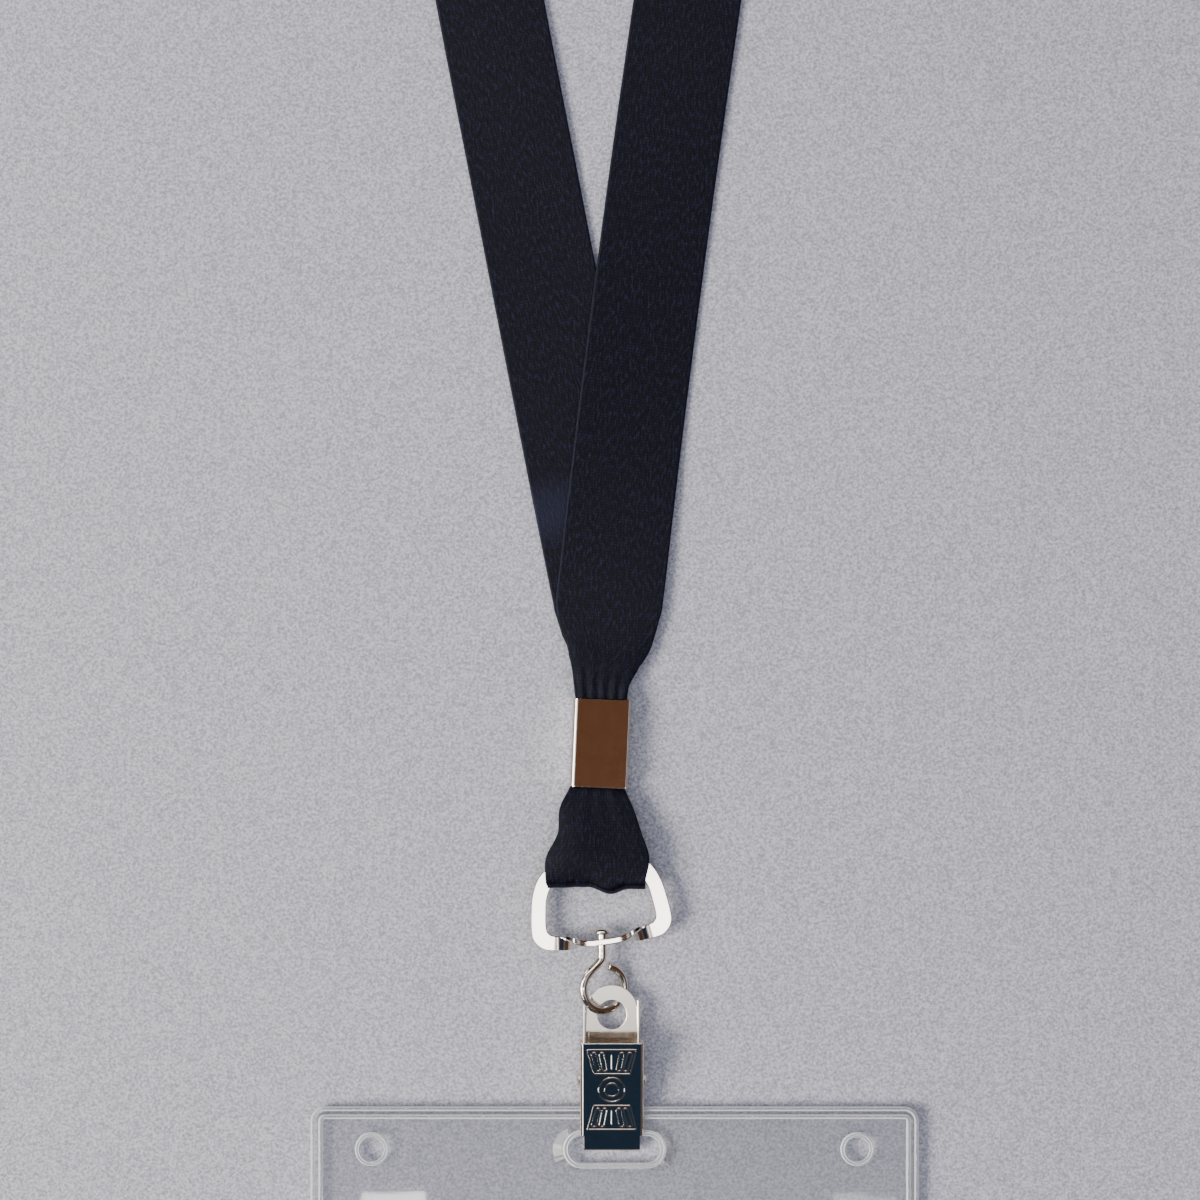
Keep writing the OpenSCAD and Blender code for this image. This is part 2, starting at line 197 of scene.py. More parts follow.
def make_room():
    flat_panel("floor", Vector((0, 0, FLOOR_Z)), (FLOOR_SIZE, FLOOR_SIZE), UP, painted_board())
    # what the flat plated faces mirror, level with the camera: x and y are measured from its axis
    overhead = AIM + Vector((0, 0, CAMERA_HEIGHT))
    for name, x, y, size, code, glow in (
            ("brown_camera_card", 0, 0.04, (0.3, 0.24), "#6a4833", 0.6),
            ("white_card_near", 0, -0.1175, (0.5, 0.065), "#ffffff", 8.0),
            ("white_card_far", 0, -0.254, (0.1, 0.03), "#ffffff", 6.0),
            ("left_pane", -0.074, -0.267, (0.024, 0.07), "#ffffff", 8.0),
            ("right_pane", 0.095, -0.267, (0.02, 0.07), "#ffffff", 2.5)):
        mirrored_card(name, overhead + Vector((x, y, 0.01)), size, -UP, code, glow)
    mirrored_card("pale_ceiling_card", overhead + Vector((0.4, 0, 0.05)), (1.7, 0.9), -UP, "#dfe2e8", 0.5)
    mirrored_card("brown_ceiling_front", overhead + Vector((0, -0.7, 0.03)), (0.8, 0.7), -UP, "#5a4230", 0.4)
    # what the sloping and round faces mirror, further down the walls
    for name, place, size, code, glow in (
            ("navy_card", (0, -0.47, 0.46), (0.5, 0.24), "#1a2a3c", 0.9),
            ("brown_wall_right", (0.9, 0, 0.35), (1.8, 0.7), "#5a4230", 0.35),
            ("brown_wall_left", (-0.7, -0.8, 0.35), (0.9, 0.7), "#5a4230", 0.35),
            ("brown_wall_front", (0, -1.1, 0.3), (1.4, 0.6), "#5a4230", 0.35),
            ("white_wall_left", (-0.95, 0.2, 0.75), (0.8, 0.5), "#ffffff", 9.0),
            ("white_wall_back_left", (-0.44, 0.29, 0.69), (0.54, 0.18), "#ffffff", 12.0),
            ("white_wall_front_left", (-0.61, -0.87, 0.78), (0.6, 0.25), "#ffffff", 12.0),
            ("bright_strip_back", (0, 0.85, 0.62), (1.2, 0.12), "#ffffff", 12.0)):
        mirrored_card(name, AIM + Vector(place), size, -Vector(place), code, glow)
    area_light("window_light", AIM + Vector((-0.85, -0.3, 0.85)), 0.55, 17.0, "#fff8ee")
    ceiling = area_light("ceiling_light", AIM + Vector((0.1, -0.1, 1.5)), 1.5, 9.0, "#eef1ff")
    ceiling.visible_glossy = False
    ceiling.visible_transmission = False
    world = bpy.data.worlds.new("room")
    world.use_nodes = True
    world.node_tree.nodes["Background"].inputs["Color"].default_value = linear("#c9ccd4")
    world.node_tree.nodes["Background"].inputs["Strength"].default_value = 0.3
    bpy.context.scene.world = world


make_camera()
make_room()


# ---- Mesh tools ----

def finish_piece(name, bm, body, material, replaced=(), smooth_under=40.0):
    """Makes a bmesh a piece with its body, or None and the nodes it replaces."""
    mesh = bpy.data.meshes.new(name)
    bm.to_mesh(mesh)
    bm.free()
    mesh.shade_smooth()
    mesh.set_sharp_from_angle(angle=radians(smooth_under))
    piece = bpy.data.objects.new(name, mesh)
    piece.data.materials.append(material)
    bpy.context.collection.objects.link(piece)
    if body:
        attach(piece, body)
    if replaced:
        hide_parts(*replaced)
    return piece


def thicken(piece, thickness, offset=0.0):
    """Gives a sheet its wall, in millimetres."""
    wall = piece.modifiers.new("wall", "SOLIDIFY")
    wall.thickness = thickness * MM
    wall.offset = offset
    wall.use_even_offset = True


def round_edges(piece, width, segments=2, over=50.0):
    """Rounds a piece's sharp edges, in millimetres."""
    bevel = piece.modifiers.new("edges", "BEVEL")
    bevel.width = width * MM
    bevel.segments = segments
    bevel.limit_method = "ANGLE"
    bevel.angle_limit = radians(over)
    even_shading(piece)


def even_shading(piece):
    """Keeps the shading of flat faces flat beside rounded edges."""
    weighted = piece.modifiers.new("shading", "WEIGHTED_NORMAL")
    weighted.keep_sharp = True


def sheet_grid(bm, rows, columns, place):
    """A grid of rows by columns quads, placed by place(along, across), each from 0 to 1.

    Returns every vertex with its own along and across.
    """
    spots = {}
    for vert in bmesh.ops.create_grid(bm, x_segments=columns, y_segments=rows, size=0.5)["verts"]:
        spots[vert] = (vert.co.y + 0.5, vert.co.x + 0.5)
        vert.co = place(*spots[vert])
    return spots


def sweep(bm, rings, closed=False):
    """A solid through rings of points: a face extruded from each ring to the next."""
    face = first = bm.faces.new([bm.verts.new(p) for p in rings[0]])
    for ring in rings[1:]:
        out = bmesh.ops.extrude_face_region(bm, geom=[face])["geom"]
        face = next(g for g in out if isinstance(g, bmesh.types.BMFace))
        for vert, point in zip(face.verts, ring):
            vert.co = point
    if closed:
        bmesh.ops.bridge_loops(bm, edges=list({*first.edges, *face.edges}))
        bmesh.ops.delete(bm, geom=[first, face], context="FACES_ONLY")
    bmesh.ops.recalc_face_normals(bm, faces=bm.faces)


def curve_through(points, steps):
    """Points on the smooth curve through a list of tuples, with steps between neighbours."""
    def station(i):
        return Vector(points[max(0, min(len(points) - 1, i))])

    curve = []
    for i in range(len(points) - 1):
        p0, p1, p2, p3 = (station(i + k) for k in (-1, 0, 1, 2))
        for k in range(steps):
            t = k / steps
            curve.append(0.5 * (2 * p1 + (p2 - p0) * t + (2 * p0 - 5 * p1 + 4 * p2 - p3) * t * t
                                + (3 * p1 - p0 - 3 * p2 + p3) * t ** 3))
    return curve + [station(len(points) - 1)]


def wire_rings(path, radius_at, sides):
    """Rings round a wire along path, with radius_at(point), carried along without twisting."""
    rings = []
    ref = Vector((0.3, 0.5, 0.8))
    for i, point in enumerate(path):
        tangent = (path[min(i + 1, len(path) - 1)] - path[max(i - 1, 0)]).normalized()
        ref = (ref - tangent * ref.dot(tangent)).normalized()
        side = tangent.cross(ref)
        rings.append([point + radius_at(point) * (cos(a) * ref + sin(a) * side)
                      for a in (2 * pi * k / sides for k in range(sides))])
    return rings


def arc(cx, cy, r, start, end, steps):
    """Points on an arc, angles in degrees, both ends included."""
    turn = [radians(start + (end - start) * k / steps) for k in range(steps + 1)]
    return [(cx + r * cos(a), cy + r * sin(a)) for a in turn]


def smooth_step(low, high, value):
    t = max(0.0, min(1.0, (value - low) / (high - low)))
    return t * t * (3 - 2 * t)


# ---- Ribbon ----

RIBBON_W = 19.0
RIBBON_T = 0.8
GATHERED_W = 9.0
GATHERED_T = 1.5
SATIN_T = 0.42
ROUTE_STEPS = 16
ACROSS = 48
# Pleats across the gathered end, and the heights of the pleats, the curled edges and the slow waves.
PLEATS = 5
PLEAT_H, CURL_H, WAVE_H = 0.13, 1.2, 0.1
WAVE_RUN = 17.0
# Inner and outer limit of the painted highlight along each woven edge, measured in from the ribbon's side.
EDGE_IN, EDGE_OUT = 0.35, 0.1
# Painted sheen: a band of the ribbon painted lighter, and also less rough: its length along the ribbon, and
# half its width.
SHEEN_BAND_AT, SHEEN_BAND_HALF = 35.0, 8.0
# The route of part.scad: x, y, height of the lower edge, gather and roll.
STRAP_ROUTE = [
    (-2.4, 72.3, 0.5, 1, 0), (-2.4, 75.5, 0.4, 0.9, 0), (-1.9, 79, 0.2, 0.65, 0), (-1.3, 83, 0, 0.3, 0),
    (-1.3, 89, 0, 0, 0), (-2.4, 95, 0, 0, 0), (-5, 108, 0, 0, 0), (-9.3, 130, 0, 0, 0),
    (-15.7, 163, 0, 0, 0), (-22.3, 197, 0, 0, 0), (-28.4, 230, 0, 0, 6), (-34.2, 265, 0, 0, 25),
    (-39, 300, 0, 0, 50), (-42.6, 335, 0, 0, 72), (-44.8, 370, 0, 0, 86), (-46, 405, 0, 0, 90),
    (-46, 438, 0, 0, 90), (-40, 459, 0, 0, 90), (-25, 474, 0, 0, 90), (-4, 480, 0, 0, 90),
    (17, 474, 0, 0, 90), (32, 459, 0, 0, 90), (38, 438, 0, 0, 90), (37.5, 405, 0, 0, 90),
    (35, 370, 0, 0, 94), (31.8, 335, 0, 0, 108), (27.4, 300, 0, 0, 130), (22.6, 265, 0, 0, 155),
    (17.8, 230, 0, 0, 174), (13, 197, 0, 0, 180), (8.2, 163, 0, 0, 178.5), (3.9, 130, 0, 0, 176),
    (1.2, 108, 0.6, 0, 177.3), (-0.3, 95, 0.9, 0, 178.7), (-1, 89, 1.1, 0, 180),
    (-1.2, 83, 1.4, 0.3, 180), (-1.8, 79, 1.85, 0.65, 180), (-2.3, 75.5, 2.2, 0.9, 180),
    (-2.4, 72.3, 2.4, 1, 180),
]


# Black polyester satin ribbon: long floats of the weave show as short slanting streaks with a soft,
# cool sheen along them, crossed by fine wefts, with a painted highlight along each woven edge.
def satin_ribbon():
    material, tree, out = new_material("black_satin_polyester")
    uv = add(tree, "ShaderNodeUVMap", uv_map="weave")
    # floats, about 0.4 by 1.2 mm: coarser than the real thread, so that they show
    slant = add(tree, "ShaderNodeMapping", {
        "Vector": uv.outputs["UV"], "Rotation": (0, 0, radians(24)), "Scale": (2.6, 0.8, 1.0)})
    floats = add(tree, "ShaderNodeTexNoise",
                 {"Vector": slant.outputs["Vector"], "Scale": 1.0, "Detail": 2.0, "Roughness": 0.65})
    # weft threads 0.5 mm apart, straight across
    wefts = add(tree, "ShaderNodeTexWave", {
        "Vector": uv.outputs["UV"], "Scale": 0.62, "Distortion": 0.8, "Detail": 1.0},
        wave_type="BANDS", bands_direction="Y", wave_profile="SIN")
    threads = add(tree, "ShaderNodeMath", {0: wefts.outputs["Fac"], 1: 0.09, 2: floats.outputs["Fac"]},
                  operation="MULTIPLY_ADD")
    tone = ramp(tree, threads.outputs["Value"],
                [(0.36, "#020209"), (0.56, "#060613"), (0.78, "#1f213b")])
    # painted highlight along each woven edge
    place = add(tree, "ShaderNodeSeparateXYZ", {"Vector": uv.outputs["UV"]})
    out_from_middle = add(tree, "ShaderNodeMath", {0: place.outputs["X"]}, operation="ABSOLUTE")
    edge = add(tree, "ShaderNodeMapRange", {
        "Value": out_from_middle.outputs["Value"], "From Min": RIBBON_W / 2 - EDGE_IN,
        "From Max": RIBBON_W / 2 - EDGE_OUT, "To Min": 0.0, "To Max": 0.35})
    colour = add(tree, "ShaderNodeMix", {
        0: edge.outputs["Result"], 6: tone.outputs["Color"], 7: linear("#232a3d")}, data_type="RGBA")
    # painted sheen: the band is painted lighter (#25273e), and is less rough too
    off_band = add(tree, "ShaderNodeMath", {0: place.outputs["Y"], 1: SHEEN_BAND_AT}, operation="SUBTRACT")
    distance = add(tree, "ShaderNodeMath", {0: off_band.outputs["Value"]}, operation="ABSOLUTE")
    pressed = add(tree, "ShaderNodeMapRange", {
        "Value": distance.outputs["Value"], "From Min": 0.0, "From Max": SHEEN_BAND_HALF, "To Min": 0.55,
        "To Max": 0.0}, interpolation_type="SMOOTHERSTEP")
    shiny = add(tree, "ShaderNodeMix", {
        0: pressed.outputs["Result"], 6: colour.outputs[2], 7: linear("#25273e")}, data_type="RGBA")
    gloss = add(tree, "ShaderNodeMapRange", {
        "Value": pressed.outputs["Result"], "From Min": 0.0, "From Max": 1.0, "To Min": 0.5, "To Max": 0.3})
    bump = add(tree, "ShaderNodeBump",
               {"Height": threads.outputs["Value"], "Strength": 0.7, "Distance": 0.00015})
    tangent = add(tree, "ShaderNodeTangent", direction_type="UV_MAP", uv_map="weave")
    shader = add(tree, "ShaderNodeBsdfPrincipled", {
        "Base Color": shiny.outputs[2], "Roughness": gloss.outputs["Result"],
        "Specular IOR Level": 0.08, "Anisotropic": 0.5, "Tangent": tangent.outputs["Tangent"],
        "Sheen Weight": 0.035, "Sheen Roughness": 0.35, "Sheen Tint": linear("#8486f0"),
        "Normal": bump.outputs["Normal"]})
    tree.links.new(shader.outputs["BSDF"], out.inputs["Surface"])
    return material


SATIN = satin_ribbon()


def weave_uv(bm, value_of):
    """Writes the weave map: each corner's place on the flat ribbon, in millimetres."""
    layer = bm.loops.layers.uv.new("weave")
    for face in bm.faces:
        for loop in face.loops:
            loop[layer].uv = value_of(loop.vert)


def route_stations():
    """Smooth stations of the neck ribbon, as vectors of five numbers."""
    return curve_through(STRAP_ROUTE, ROUTE_STEPS)


def ribbon_frame(route, i):
    """At station i: the centre, the direction across, and the direction away from the face."""
    p = route[i]
    q = route[min(i + 1, len(route) - 1)] - route[max(i - 1, 0)]
    along = Vector((q[0], q[1], 0)).normalized()
    side = along.cross(UP)
    gather = max(p[3], 0.0)
    roll = radians(p[4])
    half_w = (RIBBON_W + (GATHERED_W - RIBBON_W) * gather) / 2
    half_t = (RIBBON_T + (GATHERED_T - RIBBON_T) * gather) / 2
    lift = max(p[2], 0.0) + half_w * abs(sin(roll)) + half_t * abs(cos(roll))
    across = side * cos(roll) - UP * sin(roll)
    face = UP * cos(roll) + side * sin(roll)
    return Vector((p[0], p[1], lift)), across, face, half_w, gather, cos(roll)


def make_neck_ribbon():
    route = route_stations()
    frames = [ribbon_frame(route, i) for i in range(len(route))]
    centres = [f[0] for f in frames]
    lengths = [0.0]
    for a, b in zip(centres, centres[1:]):
        lengths.append(lengths[-1] + (b - a).length)
    bm = bmesh.new()
    last = len(route) - 1

    def place(along, across):
        i, v = round(along * last), 2 * across - 1
        centre, side, face, half_w, gather, upright = frames[i]
        # fine pleats at the sleeve, edges that curl down, and a slight wave in the open run
        pleat = PLEAT_H * gather ** 5 * sin(pi * PLEATS * v + 0.6)
        curl = -CURL_H * gather * (1 - gather) * v ** 6
        wave = WAVE_H * sin(lengths[i] / WAVE_RUN + 1.3 * v) * (1 - gather)
        height = (pleat + curl + wave) * (1 if upright > 0 else -1)
        point = centre + side * half_w * v + face * height
        point.z = max(point.z, SATIN_T / 2 + 0.02)
        return at(*point)

    spots = sheet_grid(bm, last, ACROSS, place)
    weave_uv(bm, lambda vert: ((spots[vert][1] - 0.5) * RIBBON_W, lengths[round(spots[vert][0] * last)]))
    piece = finish_piece("neck_ribbon", bm, "strap", SATIN, ["neck_strap"], 60)
    thicken(piece, SATIN_T)
    path = [at(*c) for c in centres]


make_neck_ribbon()


# ---- Fold round the bar ----

LOOP_CENTRE = (-2.75, 35.6)
LOOP_Z = 3.22
LOOP_TURN = radians(7.5)


def loop_at(u, v, z=0.0):
    """A point of the D-loop's own plane, with v from its middle towards the bar."""
    c, s = cos(LOOP_TURN), sin(LOOP_TURN)
    return Vector((LOOP_CENTRE[0] + u * c - v * s, LOOP_CENTRE[1] + u * s + v * c, LOOP_Z + z))


def level(points, x):
    """The value at x on a soft line through (x, value) points."""
    for (x0, y0), (x1, y1) in zip(points, points[1:]):
        if x <= x1:
            return y0 + (y1 - y0) * smooth_step(x0, x1, x)
    return points[-1][1]


# How low the slack fold hangs in the D-loop's window, across its width.
FOLD_BOTTOM = [(-8.6, 4.6), (-4.1, 4.2), (-1.7, 3.9), (2.6, 2.1), (5.2, 2.6), (8.6, 2.2)]
FOLD_HALF_W, FOLD_PLEATS = 8.6, 2.2
# Rows from the sleeve to the bar: y, middle, half width, height of the front and of the back layer.
FOLD_ROWS = [(58.6, -3.1, 4.3, 3.05, 1.35), (56.6, -3.15, 4.75, 3.2, 1.2), (52.9, -3.2, 6.5, 4.3, 0.95),
             (48.6, -2.65, 7.4, 5.2, 0.85), (44.4, -3.0, 9.1, 5.7, 0.8)]


def fold_column(v):
    """Control points of one thread of the fold, from the sleeve round the bar and back."""
    pleat = sin(2 * pi * FOLD_PLEATS * v + 0.4)
    u = FOLD_HALF_W * v
    low = level(FOLD_BOTTOM, u)
    front, back = [], []
    for y, middle, half_w, z_front, z_back in FOLD_ROWS:
        # pleated at the sleeve, puffed near the bar
        gather = smooth_step(47.0, 57.5, y)
        puff = (1 - gather) * 0.35 * sin(2.4 * v + 0.05 * y + 0.9)
        height = z_front + 0.06 * gather * pleat + puff - 0.5 * v ** 4
        front.append(Vector((middle + half_w * v, y, height)))
        back.append(Vector((middle + (half_w - 0.15) * v, y, z_back + 0.05 * gather * pleat)))
    bend = [loop_at(u * 1.02, low + 1.5, 2.25), loop_at(u, low + 0.35, 1.35), loop_at(u, low, 0.1),
            loop_at(u, low + 0.35, -1.15), loop_at(u * 1.01, low + 1.6, -2.15)]
    return front + bend + back[::-1]


def make_ribbon_fold():
    columns, steps = 56, 12
    threads = [curve_through(fold_column(2 * k / columns - 1), steps) for k in range(columns + 1)]
    rows = len(threads[0]) - 1
    middle = threads[columns // 2]
    run = [0.0]
    for a, b in zip(middle, middle[1:]):
        run.append(run[-1] + (b - a).length)
    bm = bmesh.new()
    spots = sheet_grid(bm, rows, columns, lambda along, across: at(
        *threads[round(across * columns)][round(along * rows)]))
    weave_uv(bm, lambda vert: ((spots[vert][1] - 0.5) * RIBBON_W, run[round(spots[vert][0] * rows)]))
    piece = finish_piece("ribbon_fold", bm, "strap", SATIN, ["strap_wrap"], 60)
    thicken(piece, SATIN_T)


# ---- Metal ----

# Nickel-plated steel, stamped and barrel plated: bright and slightly warm, with a soft haze and
# tiny tumbling marks that blur what it mirrors.
def plated_nickel(name, low, high, relief):
    """Nickel with its roughness from low to high, and how much its marks stand out."""
    material, tree, out = new_material(name)
    coords = object_coords(tree)
    haze = add(tree, "ShaderNodeTexNoise",
               {"Vector": coords, "Scale": 0.55, "Detail": 5.0, "Roughness": 0.62})
    marks = add(tree, "ShaderNodeTexNoise",
                {"Vector": object_coords(tree, (7.0, 1.1, 3.0), 0.4), "Scale": 1.0, "Detail": 3.0})
    gloss = add(tree, "ShaderNodeMapRange", {
        "Value": haze.outputs["Fac"], "From Min": 0.3, "From Max": 0.7, "To Min": low, "To Max": high})
    colour = ramp(tree, haze.outputs["Fac"], [(0.3, "#d2cabd"), (0.7, "#dcd5ca")])
    bump = add(tree, "ShaderNodeBump",
               {"Height": marks.outputs["Fac"], "Strength": relief, "Distance": 0.00003})
    shader = add(tree, "ShaderNodeBsdfPrincipled", {
        "Base Color": colour.outputs["Color"], "Metallic": 1.0, "Roughness": gloss.outputs["Result"],
        "Normal": bump.outputs["Normal"]})
    tree.links.new(shader.outputs["BSDF"], out.inputs["Surface"])
    return material


NICKEL = plated_nickel("nickel_plated_steel", 0.09, 0.12, 0.05)
BRIGHT_NICKEL = plated_nickel("bright_rolled_nickel_plate", 0.035, 0.055, 0.03)
DULL_NICKEL = plated_nickel("barrel_tumbled_nickel_plate", 0.14, 0.2, 0.08)
SPRING_WIRE = plated_nickel("drawn_spring_wire", 0.24, 0.34, 0.4)


SLEEVE_CENTRE = (-2.6, 64.5)
SLEEVE_TURN = radians(-2.5)
SLEEVE_W, SLEEVE_H, SLEEVE_L, SLEEVE_WALL = 10.2, 4.4, 15.6, 0.5
SLEEVE_LEFT_R, SLEEVE_RIGHT_R = 1.0, 0.3
SLEEVE_ROWS = 60
SEAM = 0.25
RAGGED, SLEEVE_LEAN = 0.1, -0.014


def sleeve_at(u, v, z):
    c, s = cos(SLEEVE_TURN), sin(SLEEVE_TURN)
    return Vector((SLEEVE_CENTRE[0] + u * c - v * s, SLEEVE_CENTRE[1] + u * s + v * c, z + SLEEVE_H / 2))


def sleeve_section():
    """Half way round the sleeve and back, from one side of the seam under it to the other."""
    points = [(SEAM / 2, -SLEEVE_H / 2)]
    for side, r, start in ((1, SLEEVE_RIGHT_R, -90), (-1, SLEEVE_LEFT_R, 90)):
        x, z = side * (SLEEVE_W / 2 - r), side * (SLEEVE_H / 2 - r)
        points += arc(x, -z, r, start, start + 90, 8) + arc(x, z, r, start + 90, start + 180, 8)
    return points + [(-SEAM / 2, -SLEEVE_H / 2)]


def make_crimp_sleeve():
    section = sleeve_section()
    bm = bmesh.new()

    def place(along, across):
        u, z = section[round(across * (len(section) - 1))]
        v = (along - 0.5) * SLEEVE_L
        end = smooth_step(0.94, 1.0, abs(2 * along - 1))
        # the sheared ends are a little uneven
        ragged = RAGGED * end * noise.noise(Vector((u * 1.7, z * 1.7, 3.0 if v > 0 else 9.0)))
        # the press leaves the front a little lower towards the ribbon
        lean = SLEEVE_LEAN * v if z > 0 else 0.0
        return at(*sleeve_at(u, v + ragged, z + lean))

    sheet_grid(bm, SLEEVE_ROWS, len(section) - 1, place)
    bmesh.ops.recalc_face_normals(bm, faces=bm.faces)
    piece = finish_piece("crimped_sleeve", bm, "strap", BRIGHT_NICKEL, ["crimp_sleeve"])
    # the open strip's normals point in, so its wall grows along them
    thicken(piece, SLEEVE_WALL, 1.0)
    round_edges(piece, 0.1)


# ---- D-loop and swivel eye ----

STRIP_T, STRIP_CHAMFER = 1.0, 0.14
# Right half of the D-loop: u, v, width of the strip and its roll, from the bridge to the bar.
LOOP_HALF = [(0, -6.25, 2.7, 90), (2.2, -6.2, 2.7, 90), (3.8, -6.1, 2.7, 84), (5.2, -5.95, 2.6, 62),
             (6.6, -5.75, 2.5, 34), (7.8, -5.55, 2.5, 10), (8.9, -5.4, 2.6, 0), (10.1, -4.95, 2.85, 0),
             (10.95, -3.9, 2.9, 0), (11.1, -2.4, 2.7, 0), (10.8, 0.2, 2.65, 0), (10.3, 2.8, 2.6, 0),
             (9.2, 5.2, 2.7, 0), (7.6, 6.6, 2.8, 0), (5.4, 7.0, 2.8, 0), (2.6, 7.0, 2.8, 0)]


def strip_ring(centre, tangent, width, roll):
    """Eight points round the flat strip with chamfered edges, turned by roll about its run."""
    side = UP.cross(tangent)
    across = side * cos(roll) + UP * sin(roll)
    face = UP * cos(roll) - side * sin(roll)
    w, t, c = width / 2, STRIP_T / 2, STRIP_CHAMFER
    outline = [(w, t - c), (w - c, t), (c - w, t), (-w, t - c)]
    outline += [(-a, -b) for a, b in outline]
    return [at(*(centre + across * a + face * b)) for a, b in outline]


def make_d_loop():
    half = LOOP_HALF
    mirrored = [(-u, v, w, roll) for u, v, w, roll in half[1:]][::-1]
    stations = half + [(0, 7.0, 2.8, 0)] + mirrored
    stations = [stations[-1]] + stations + stations[:2]
    path = curve_through(stations, 8)
    path = path[8:-8]
    rings = []
    for i in range(len(path) - 1):
        p, q = path[i], path[i + 1]
        before = path[i - 1] if i else path[-2]
        tangent = (loop_at(q[0], q[1]) - loop_at(before[0], before[1])).normalized()
        rings.append(strip_ring(loop_at(p[0], p[1]), tangent, p[2], radians(p[3])))
    bm = bmesh.new()
    sweep(bm, rings, closed=True)
    finish_piece("stamped_d_loop", bm, "d_loop", NICKEL, ["d_loop"], 35)


SHANK_X = -2.3
EYE = (-1.94, 21.16)
EYE_A, EYE_B = 4.4, 3.93
EYE_TILT = radians(34)
# Where the eye's bend starts and how far it goes round, in degrees.
EYE_START, EYE_SWEEP, EYE_POINTS = 128, 310, 14
WIRE_R, SHANK_R = 0.75, 0.86
SHANK_FROM, SHANK_TO = 24.5, 27.5
HEAD_Y = 31.0


def turned(bm, profile, place, steps=32):
    """Spins an open profile of (radius, along) round its axis, then puts it in place."""
    old = set(bm.verts)
    verts = [bm.verts.new((r, 0, h)) for r, h in profile]
    edges = [bm.edges.new(pair) for pair in zip(verts, verts[1:])]
    bmesh.ops.spin(bm, geom=verts + edges, cent=(0, 0, 0), axis=(0, 0, 1), angle=2 * pi, steps=steps,
                   use_merge=True)
    made = [v for v in bm.verts if v not in old]
    bmesh.ops.remove_doubles(bm, verts=made, dist=1e-5)
    made = [v for v in bm.verts if v not in old]
    bmesh.ops.recalc_face_normals(bm, faces=list({f for v in made for f in v.link_faces}))
    for v in made:
        v.co = place(v.co)


def make_swivel_eye():
    points = [(SHANK_X, HEAD_Y, LOOP_Z), (SHANK_X, 28.5, LOOP_Z), (SHANK_X, 26.9, LOOP_Z),
              (SHANK_X - 0.25, 25.9, LOOP_Z + 0.25)]
    for k in range(EYE_POINTS):
        f = radians(EYE_START + EYE_SWEEP * k / (EYE_POINTS - 1))
        points.append((EYE[0] + EYE_A * cos(EYE_TILT) * cos(f), EYE[1] + EYE_B * sin(f),
                       LOOP_Z - EYE_A * sin(EYE_TILT) * cos(f)))
    path = curve_through(points, 6)

    def radius_at(p):
        return WIRE_R + (SHANK_R - WIRE_R) * smooth_step(SHANK_FROM, SHANK_TO, p.y)

    bm = bmesh.new()
    rings = wire_rings(path, radius_at, 20)
    # the cut end of the wire is slightly broken at its edge
    tip = path[-1]
    rings.append([tip + (p - tip) * 0.8 + (path[-1] - path[-2]).normalized() * 0.12 for p in rings[-1]])
    sweep(bm, [[at(*p) for p in ring] for ring in rings])
    # upset head, slightly mushroomed
    profile = [(0.0, 0.72), (0.6, 0.68), (1.1, 0.5), (1.4, 0.22), (1.45, 0.0), (1.35, -0.2), (1.0, -0.36),
               (0.0, -0.4)]
    turned(bm, profile, lambda p: at(SHANK_X + p.x, HEAD_Y + p.z, LOOP_Z + p.y))
    finish_piece("swivel_eye_wire", bm, "swivel", NICKEL, ["swivel_eye"], 50)


# ---- Clip ----

CLIP_X = -0.5
TIP_Y = -7.3
CLIP_PITCH = radians(5.3)
JAW_ANGLE = radians(12)
JAW_H = 1.55
PLATE_T = 0.4
PIN_S, PIN_H, PIN_HOLE_R = 12.65, 2.3, 0.62
CLIP_W, LEVER_W, TAB_W = 11.3, 10.0, 9.0
TAB_END, TAB_HOLE_S, TAB_HOLE_R = 29.1, 23.8, 2.6
LEVER_START, LEVER_END, SHOULDER = 8.0, 26.3, 0.15
JAW_L = 20.3
PIN_A = PIN_S * cos(JAW_ANGLE) + (PIN_H - JAW_H) * sin(JAW_ANGLE)
PIN_D = (PIN_H - JAW_H) * cos(JAW_ANGLE) - PIN_S * sin(JAW_ANGLE)


def clip_at(x, s, h):
    """A point of the clip: x across, s along the back lever from the jaw's tip, h away from it."""
    c, t = cos(CLIP_PITCH), sin(CLIP_PITCH)
    return at(CLIP_X + x, TIP_Y + s * c - h * t, s * t + h * c)


def jaw_at(x, s, h):
    """A point of the front plate: s along it from its tip, h above its underside."""
    c, t = cos(JAW_ANGLE), sin(JAW_ANGLE)
    return clip_at(x, s * c - h * t, JAW_H + s * t + h * c)


def stamping(bm, outline, holes, thickness, place, edge):
    """A flat stamping: an outline less its holes, given its thickness, with its edges rounded."""
    old = set(bm.verts)
    edges = []
    for points in [outline] + holes:
        verts = [bm.verts.new((x, y, 0)) for x, y in points]
        edges += [bm.edges.new(pair) for pair in zip(verts, verts[1:] + verts[:1])]
    filled = bmesh.ops.triangle_fill(bm, use_beauty=True, use_dissolve=True, edges=edges)["geom"]
    faces = [g for g in filled if isinstance(g, bmesh.types.BMFace)]
    raised = bmesh.ops.extrude_face_region(bm, geom=faces)["geom"]
    lifted = [g for g in raised if isinstance(g, bmesh.types.BMVert)]
    bmesh.ops.translate(bm, vec=(0, 0, thickness), verts=lifted)
    made = [v for v in bm.verts if v not in old]
    body = list({f for v in made for f in v.link_faces})
    bmesh.ops.recalc_face_normals(bm, faces=body)
    sharp = {e for f in body for e in f.edges if e.is_manifold and e.calc_face_angle() > 1.0}
    bmesh.ops.bevel(bm, geom=list(sharp), offset=edge, offset_type="OFFSET", segments=2, profile=0.5,
                    affect="EDGES", material=-1)
    for v in bm.verts:
        if v not in old:
            v.co = place(*v.co)


